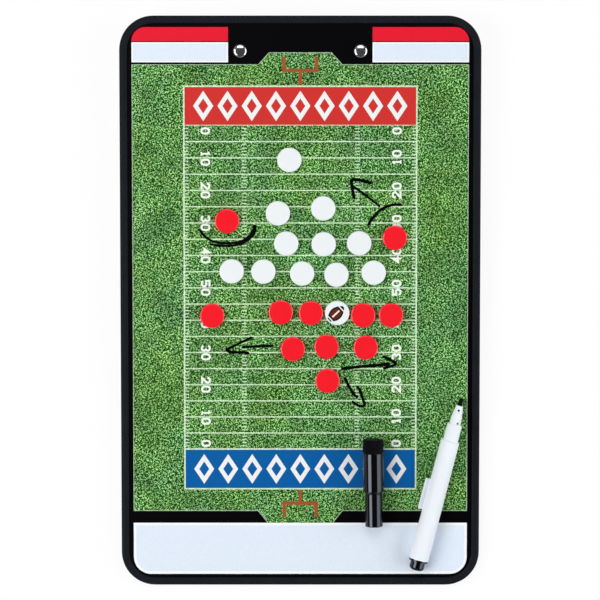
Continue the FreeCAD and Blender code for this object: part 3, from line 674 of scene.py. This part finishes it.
def turf_edge():
    """Thin pale line between the turf and the black round it."""
    half_line = TURF_EDGE / 2
    side = PRINT_SIDE - half_line
    floor_edge, roof_edge = BAND_ROOF + half_line, HEADER_FLOOR - half_line
    half = [
        (BAND_STEP_IN, BAND_FLOOR), (BAND_STEP_OUT, floor_edge), (side, floor_edge),
        (side, roof_edge), (HEADER_STEP_OUT, roof_edge), (HEADER_STEP_IN, HEADER_ROOF - half_line),
    ]
    pale = ink("edge_white", (206, 220, 202), show_through=0.6)
    printed("turf_edge", pale, LINE, lines=[half + mirrored(half)[::-1]], width=TURF_EDGE)


def panels():
    """Red label strips, and white panels with a tinted field to write on."""
    label = box_outline(-PRINT_SIDE, LABEL_FLOOR, -PANEL_INNER, PRINT_TOP, (0, 0, 0, LABEL_CORNER))
    printed("label_panels", ink("label_red", (231, 25, 49)), LINE, [label, mirrored(label)])
    header_box = (-PRINT_SIDE, PANEL_FLOOR, -PANEL_INNER, PANEL_ROOF)
    notes_box = (-PRINT_SIDE, PRINT_BOTTOM, PRINT_SIDE, NOTES_ROOF)
    panel = box_outline(*header_box)
    notes = box_outline(*notes_box, (PRINT_CORNER, PRINT_CORNER, 0, 0))
    white = ink("panel_white", (247, 250, 252))
    printed("writing_panels", white, LINE, [panel, mirrored(panel), notes])
    corner = PRINT_CORNER - NOTES_MARGIN
    panel_field = box_outline(*inset(header_box, PANEL_MARGIN))
    notes_field = box_outline(*inset(notes_box, NOTES_MARGIN), (corner, corner, 0, 0))
    tint = ink("panel_tint", (226, 236, 249))
    printed("writing_fields", tint, MARK, [panel_field, mirrored(panel_field), notes_field])


def end_zones():
    """Red and blue end zones, each with a row of lozenges."""
    half_line = BORDER_LINE / 2
    side = SIDELINE - half_line
    half_width, half_height = LOZENGE_HALF
    zones = (
        ("end_zone_red", (208, 50, 45), TOP_GOAL + TOP_GOAL_LINE / 2, TOP_LINE - half_line),
        ("end_zone_blue", (0, 92, 163), BOTTOM_LINE + half_line, BOTTOM_GOAL - half_line),
    )
    lozenges = []
    for name, color, low, high in zones:
        printed(name, ink(name, color), FILL, [box_outline(-side, low, side, high)])
        middle = (low + high) / 2
        for index in range(LOZENGES):
            x = (index - (LOZENGES - 1) / 2) * LOZENGE_PITCH
            lozenges.append([
                (x, middle - half_height), (x + half_width, middle),
                (x, middle + half_height), (x - half_width, middle),
            ])
    white = ink("zone_white", (238, 240, 240))
    printed("end_zone_marks", white, LINE, rings=lozenges, width=LOZENGE_LINE)


def field_lines():
    """Border, goal lines, a line every five yards, and ticks for the yards between."""
    white = ink("line_white", (230, 255, 222), show_through=0.4)
    border = [
        (-SIDELINE, BOTTOM_LINE), (SIDELINE, BOTTOM_LINE), (SIDELINE, TOP_LINE), (-SIDELINE, TOP_LINE),
    ]
    inner = SIDELINE - BORDER_LINE / 2
    top_goal, bottom_goal = ([(-inner, goal), (inner, goal)] for goal in (TOP_GOAL, BOTTOM_GOAL))
    printed("border_lines", white, LINE, lines=[bottom_goal], rings=[border], width=BORDER_LINE)
    printed("top_goal_line", white, LINE, lines=[top_goal], width=TOP_GOAL_LINE)
    yard_lines = []
    ticks = []
    for yard in range(1, FIELD_YARDS):
        y = BOTTOM_GOAL + yard * YARD
        if yard % LINE_YARDS == 0:
            yard_lines.append([(-inner, y), (inner, y)])
            continue
        for side, column in zip((-1, 1), HASH_COLUMNS):
            ticks.append([(side * (inner - TICK_LENGTH), y), (side * inner, y)])
            ticks.append([(column - HASH_LENGTH / 2, y), (column + HASH_LENGTH / 2, y)])
    printed("yard_lines", white, LINE, lines=yard_lines, width=YARD_LINE)
    printed("yard_ticks", white, LINE, lines=ticks, width=TICK_LINE)


def place_digit(shape, side, column, y, along):
    """A shape of a numeral, with its top to the middle of the field."""
    return [
        (
            column - side * (v - DIGIT_HEIGHT / 2) * NUMBER_UNIT,
            y + side * (along + (u - DIGIT_WIDTH / 2) * NUMBER_UNIT),
        )
        for u, v in shape
    ]


def yard_numbers():
    """Numerals in two columns, counted from both goal lines."""
    shapes = {"plates": [], "lines": [], "rings": []}
    for yard in range(0, FIELD_YARDS + 1, NUMBER_YARDS):
        digits = str(min(yard, FIELD_YARDS - yard))
        y = BOTTOM_GOAL + yard * YARD
        if digits == "0":
            y += ZERO_SHIFT if y < 0 else -ZERO_SHIFT
        for side, column in zip((-1, 1), NUMBER_COLUMNS):
            for index, digit in enumerate(digits):
                along = (index - (len(digits) - 1) / 2) * DIGIT_PITCH
                for kind, outlines in DIGITS[digit].items():
                    shapes[kind] += [place_digit(outline, side, column, y, along) for outline in outlines]
    printed("yard_numbers", ink("number_white", (240, 244, 238)), MARK, **shapes, width=NUMBER_STROKE)


def goalposts():
    """A goalpost behind each end line: stem, crossbar and two uprights, drawn as one fork."""
    half = GOALPOST_LINE / 2
    inner, outer = GOALPOST_REACH - half, GOALPOST_REACH + half
    posts = (
        (TOP_LINE, 1, TOP_STEM, TOP_UPRIGHT),
        (BOTTOM_LINE, -1, BOTTOM_STEM, BOTTOM_UPRIGHT),
    )
    plates = []
    for end_line, outward, stem, upright in posts:
        foot = end_line + outward * BORDER_LINE / 2
        bar = foot + outward * stem
        tip = bar + outward * upright
        near, far = bar - outward * half, bar + outward * half
        fork = [(half, foot), (half, near), (outer, near), (outer, tip), (inner, tip), (inner, far)]
        plates.append(fork + mirrored(fork)[::-1])
    printed("goalposts", ink("goal_orange", (192, 74, 54), show_through=0.6), LINE, plates)


def stroke_edges(points, width):
    """Both edges of a stroke drawn by hand: round ends, and a width that wavers."""
    curve = smooth_line(points, STROKE_STEP)
    travelled = [0.0]
    for here, there in zip(curve, curve[1:]):
        travelled.append(travelled[-1] + (there - here).length)
    left, right = [], []
    for index, point in enumerate(curve):
        ahead = curve[min(index + 1, len(curve) - 1)] - curve[max(index - 1, 0)]
        ahead.normalize()
        waver = noise.noise((point.x * WAVER_RATE, point.y * WAVER_RATE, width))
        half = width / 2 * (1 + STROKE_WAVER * waver)
        from_end = min(travelled[index], travelled[-1] - travelled[index])
        if from_end < half:
            half *= max(STROKE_END, math.sqrt(1 - (1 - from_end / half) ** 2))
        left.append((point.x - ahead.y * half, point.y + ahead.x * half))
        right.append((point.x + ahead.y * half, point.y - ahead.x * half))
    return left, right


def ink_strokes():
    """Arrows and arcs of the dry-wipe marker."""
    mesh = bmesh.new()
    for points, width in INK_STROKES:
        add_band(mesh, *stroke_edges(points, width), FACE - SUNK, FACE + INK)
    piece("ink_strokes", mesh, marker_ink(), "board")


# Print on the ball disc

def on_ball(points):
    """Places in the part's frame of points given along the ball and across it."""
    low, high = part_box("ball_disc_cup")
    x = (low.x + high.x) / 2 / MM + BALL_SHIFT[0]
    y = (low.y + high.y) / 2 / MM + BALL_SHIFT[1]
    cos, sin = math.cos(BALL_LEAN), math.sin(BALL_LEAN)
    return [(x + u * cos - v * sin, y + u * sin + v * cos) for u, v in points]


def ball_edge(start, end, swell):
    """Upper edge of a pointed oval between two places along it, moved out by swell."""
    length, width = BALL_HALF
    places = [start + (end - start) * step / BALL_STEPS for step in range(BALL_STEPS + 1)]
    return [(u, width * (1 - (u / length) ** 2) + swell) for u in places]


def ball_section(start, end):
    """Part of the ball's dark outline."""
    edge = ball_edge(start, end, BALL_OUTLINE)
    return on_ball(edge + [(u, -v) for u, v in reversed(edge)])


def ball_side(side):
    """Leather on one side of the seam."""
    edge = ball_edge(-LEATHER_HALF, LEATHER_HALF, -LEATHER_INSET)
    seam = [(u, SEAM_EDGE) for u, _ in reversed(edge)]
    return on_ball([(u, side * v) for u, v in edge + seam])


def ball_print():
    """Dark outline with two tips, leather on both sides of the seam and under the lace, and the lace."""
    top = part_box("ball_disc_cup")[1].z / MM
    lace_length, lace_width = LACE_HALF
    outline = [
        ball_section(-BALL_BAND - BALL_OUTLINE, BALL_BAND + BALL_OUTLINE),
        ball_section(BALL_GAP, UPPER_TIP),
        ball_section(-LOWER_TIP, -BALL_GAP),
    ]
    leather = [
        on_ball(box_outline(-LEATHER_HALF, -SEAM_LEATHER, LEATHER_HALF, SEAM_LEATHER)),
        ball_side(1),
        ball_side(-1),
    ]
    lace = [on_ball(box_outline(-lace_length, -lace_width, lace_length, lace_width))]
    parts = (
        ("ball_outline", (22, 10, 8), OUTLINE_LAYER, outline),
        ("ball_leather", (96, 36, 26), LEATHER_LAYER, leather),
        ("ball_lace", (255, 230, 202), LACE_LAYER, lace),
    )
    for name, color, layer, plates in parts:
        mesh = bmesh.new()
        for plate in plates:
            add_plate(mesh, plate, top - SUNK, top + layer)
        piece(name, mesh, ink(name, color), "ball_disc")


# Felt eraser

def felt_profile(radius, root, shoulder, side, end):
    """Half section of the plug, from its root in the cap: distances from its axis, and places along it."""
    profile = [
        (radius - ROOT_INSET, root),
        (radius - ROOT_INSET, shoulder - ROOT_GAP),
        (radius - BEVEL, shoulder + BEVEL_GAP),
    ]
    start = shoulder + BEVEL
    flat = radius - FELT_ROUNDING
    profile += [(radius, start + (side - start) * step / FELT_RINGS) for step in range(FELT_RINGS + 1)]
    profile += [(flat + x, side + y) for x, y in turn(0, 0, FELT_ROUNDING, 0, FELT_ROUND_STEPS)[1:]]
    profile += [(flat * (1 - step / FELT_END_RINGS), end) for step in range(1, FELT_END_RINGS)]
    return profile


def felt_eraser():
    """Felt plug of the cap: a rounded stub with a pressed, fuzzy surface and loose fibres."""
    low, high = (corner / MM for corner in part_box("cap_eraser"))
    axis_x, axis_z = (low.x + high.x) / 2, (low.z + high.z) / 2
    radius = (high.z - low.z) / 2
    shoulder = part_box("marker_cap")[1].y / MM
    side = high.y - FELT_ROUNDING

    def outward(angle, on_end):
        return Vector((0, 1, 0)) if on_end else Vector((math.cos(angle), 0, math.sin(angle)))

    def point(r, y, angle):
        spot = Vector((axis_x + r * math.cos(angle), y, axis_z + r * math.sin(angle)))
        if y > shoulder:
            swell = sum(depth * noise.noise(spot * rate) for depth, rate in FELT_SWELLS)
            spot += outward(angle, y >= side) * (swell - FELT_PRESSED)
        return spot

    mesh = bmesh.new()
    rings = []
    for r, y in felt_profile(radius, low.y, shoulder, side, high.y):
        angles = [math.tau * step / FELT_SIDES for step in range(FELT_SIDES)]
        rings.append([mesh.verts.new(point(r, y, angle) * MM) for angle in angles])
    for here, there in zip(rings, rings[1:]):
        for index in range(FELT_SIDES):
            mesh.faces.new((here[index - 1], here[index], there[index], there[index - 1]))
    mesh.faces.new(rings[0])
    crown = mesh.verts.new(point(0, high.y, 0) * MM)
    for index in range(FELT_SIDES):
        mesh.faces.new((rings[-1][index - 1], rings[-1][index], crown))
    for face in mesh.faces:
        face.smooth = True
    plug = piece("felt_eraser", mesh, MATERIALS["eraser_felt"], "cap")
    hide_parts("cap_eraser")

    draw = random.Random(FIBRE_SEED)
    fuzz = bmesh.new()
    for _ in range(FELT_FIBRES):
        angle = draw.uniform(0, math.tau)
        on_end = draw.random() < FIBRES_ON_END
        r = radius * math.sqrt(draw.random()) * FIBRE_END_REACH if on_end else radius
        y = high.y if on_end else draw.uniform(shoulder + FIBRE_START, side)
        root = point(r, y, angle)
        out = outward(angle, on_end)
        lay = Vector((draw.gauss(0, 1), draw.gauss(0, 1), draw.gauss(0, 1)))
        heading = (out * FIBRE_RISE + lay * FIBRE_LAY).normalized()
        tip = root + heading * draw.uniform(*FIBRE_LENGTH)
        across = out.orthogonal().normalized() * FIBRE_RADIUS
        along = out.cross(across)
        foot = root - out * FIBRE_ROOT
        base = [fuzz.verts.new((foot + across * u + along * v) * MM) for u, v in FIBRE_SECTION]
        end = fuzz.verts.new(tip * MM)
        fuzz.faces.new(base)
        for index in range(len(base)):
            fuzz.faces.new((base[index - 1], base[index], end))
    piece("felt_fibres", fuzz, MATERIALS["eraser_felt"], "cap")


# Torsion spring

def torsion_spring():
    """Copy of the spring's coil, one leg on the base and the other on the lever, in spring steel with its
    transform applied.
    """
    coil = show(bpy.data.objects.new("torsion_spring", frame["nodes"]["clip_spring"].data.copy()))
    coil.material_slots[0].material = MATERIALS["spring_steel"]
    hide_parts("clip_spring")
    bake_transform(coil)


# Stage

CAMERA_DISTANCE = 1.735
CAMERA_LEAN = math.radians(4.83)
CAMERA_LENS = 169.74
CAMERA_SENSOR = 36
CAMERA_SHIFT = (-0.0005, 0.0043)

FLOOR_REACH = 6.0
FLOOR_PAINT = (0.95, 0.95, 0.95, 1)
FLOOR_GLOW = 0.9
FLOOR_FADE = (0.5, 2.5)

# Brightness of the room by height, from the horizon to straight above, and where the backdrop fades out
ROOM_LIGHT = ((0.0, 0.12), (0.5, 0.12), (0.9, 0.06))
BACKDROP = (0.0, 0.12)

# Softboxes: place, width and height, brightness, colour
SOFTBOXES = {
    "left_softbox": ((-1.45, -0.2, 1.65), (1.7, 1.3), 5.2, (1, 1, 1)),
    "right_softbox": ((1.94, -0.2, 1.03), (2.6, 1.6), 2.7, (0.97, 0.985, 1.0)),
    "header_softbox": ((0.0, 1.26, 1.80), (1.6, 1.1), 2.4, (1, 1, 1)),
    "back_softbox": ((0.0, 0.0, -1.5), (2.0, 2.0), 1.5, (1, 1, 1)),
}


def camera():
    data = bpy.data.cameras.new("camera")
    data.lens = CAMERA_LENS
    data.sensor_width = CAMERA_SENSOR
    data.shift_x, data.shift_y = CAMERA_SHIFT
    obj = show(bpy.data.objects.new("camera", data))
    away = Vector((0, math.sin(CAMERA_LEAN), math.cos(CAMERA_LEAN)))
    obj.location = Vector((0, 0, FACE * MM)) + away * CAMERA_DISTANCE
    obj.rotation_euler = (-CAMERA_LEAN, 0, 0)
    bpy.context.scene.camera = obj


def background_rays(tree):
    """Marks of the rays that show the background: straight to the camera, and by gloss or clear parts."""
    path = add_node(tree, "LightPath").outputs
    indirect = add_node(
        tree, "Math", {0: path["Is Glossy Ray"], 1: path["Is Transmission Ray"]}, operation="MAXIMUM",
    )
    return path["Is Camera Ray"], indirect.outputs[0]


def floor_material():
    """White paint that keeps most of its white in shadow, all of it far out, and is clear from below."""
    material = bpy.data.materials.new("floor")
    material.use_nodes = True
    tree = material.node_tree
    tree.nodes.clear()
    direct, indirect = background_rays(tree)
    seen = add_node(tree, "Math", {0: direct, 1: indirect}, operation="MAXIMUM")
    place = add_node(tree, "TexCoord").outputs["Object"]
    distance = add_node(tree, "VectorMath", {0: place}, operation="LENGTH").outputs["Value"]
    near, far = FLOOR_FADE
    level = add_node(
        tree, "MapRange",
        {"Value": distance, "From Min": near, "From Max": far, "To Min": FLOOR_GLOW, "To Max": 1.0},
    )
    share = add_node(tree, "Math", {0: seen.outputs[0], 1: level.outputs[0]}, operation="MULTIPLY")
    paint = add_node(tree, "BsdfDiffuse", {"Color": FLOOR_PAINT})
    glow = add_node(tree, "Emission")
    pale = add_node(tree, "MixShader", {0: share.outputs[0], 1: paint.outputs[0], 2: glow.outputs[0]})
    below = add_node(tree, "NewGeometry").outputs["Backfacing"]
    clear = add_node(tree, "BsdfTransparent")
    one_sided = add_node(tree, "MixShader", {0: below, 1: pale.outputs[0], 2: clear.outputs[0]})
    add_node(tree, "OutputMaterial", {"Surface": one_sided.outputs[0]})
    return material


def floor():
    """Pale floor, tilted as far as the board is when it rests on its clip and its lower edge."""
    clip_low, clip_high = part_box("clip_lever")
    edge_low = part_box("edge_frame")[0]
    slope = math.atan2(edge_low.z - clip_low.z, clip_high.y - edge_low.y)
    reach = FLOOR_REACH
    data = bpy.data.meshes.new("floor")
    corners = [(-reach, -reach, 0), (reach, -reach, 0), (reach, reach, 0), (-reach, reach, 0)]
    data.from_pydata(corners, [], [(0, 1, 2, 3)])
    data.materials.append(floor_material())
    obj = show(bpy.data.objects.new("floor", data))
    obj.location = (0, clip_high.y, clip_low.z)
    obj.rotation_euler = (-slope, 0, 0)
    obj.visible_shadow = False


def softbox(name, place, size, brightness, color):
    """A large lamp that faces the board, with its width level and its brightness per area."""
    width, height = size
    data = bpy.data.lights.new(name, "AREA")
    data.shape = "RECTANGLE"
    data.size, data.size_y = width, height
    data.energy = brightness * math.pi * width * height
    data.color = color
    obj = show(bpy.data.objects.new(name, data))
    obj.location = place
    obj.rotation_euler = Vector(place).to_track_quat("Z", "Y").to_euler()
    obj.visible_camera = False


def world():
    """Soft room light, dimmer straight above, before a white background that metal shows too."""
    made = bpy.data.worlds.new("studio")
    made.use_nodes = True
    bpy.context.scene.world = made
    tree = made.node_tree
    place = add_node(tree, "TexCoord").outputs["Generated"]
    height = add_node(tree, "SeparateXYZ", {0: place}).outputs["Z"]
    room = add_node(tree, "ValToRGB", {"Fac": height})
    stops = room.color_ramp.elements
    stops.new(0.5)
    for stop, (level, brightness) in zip(stops, ROOM_LIGHT):
        stop.position = level
        stop.color = (brightness, brightness, brightness, 1)
    direct, indirect = background_rays(tree)
    low, high = BACKDROP
    backdrop = add_node(
        tree, "MapRange",
        {"Value": height, "From Min": low, "From Max": high, "To Min": 1.0, "To Max": 0.0},
    )
    on_backdrop = add_node(tree, "Math", {0: indirect, 1: backdrop.outputs[0]}, operation="MULTIPLY")
    white = add_node(tree, "Math", {0: direct, 1: on_backdrop.outputs[0]}, operation="MAXIMUM")
    mix = add_node(
        tree, "Mix", {0: white.outputs[0], 6: room.outputs["Color"], 7: (1, 1, 1, 1)}, data_type="RGBA",
    )
    tree.links.new(mix.outputs[2], tree.nodes["Background"].inputs["Color"])


def stage():
    bpy.context.scene.view_settings.view_transform = "Standard"
    camera()
    floor()
    for name, settings in SOFTBOXES.items():
        softbox(name, *settings)
    world()


dress_nodes()
black_print()
turf_edge()
panels()
end_zones()
field_lines()
yard_numbers()
goalposts()
ink_strokes()
ball_print()
felt_eraser()
torsion_spring()
stage()
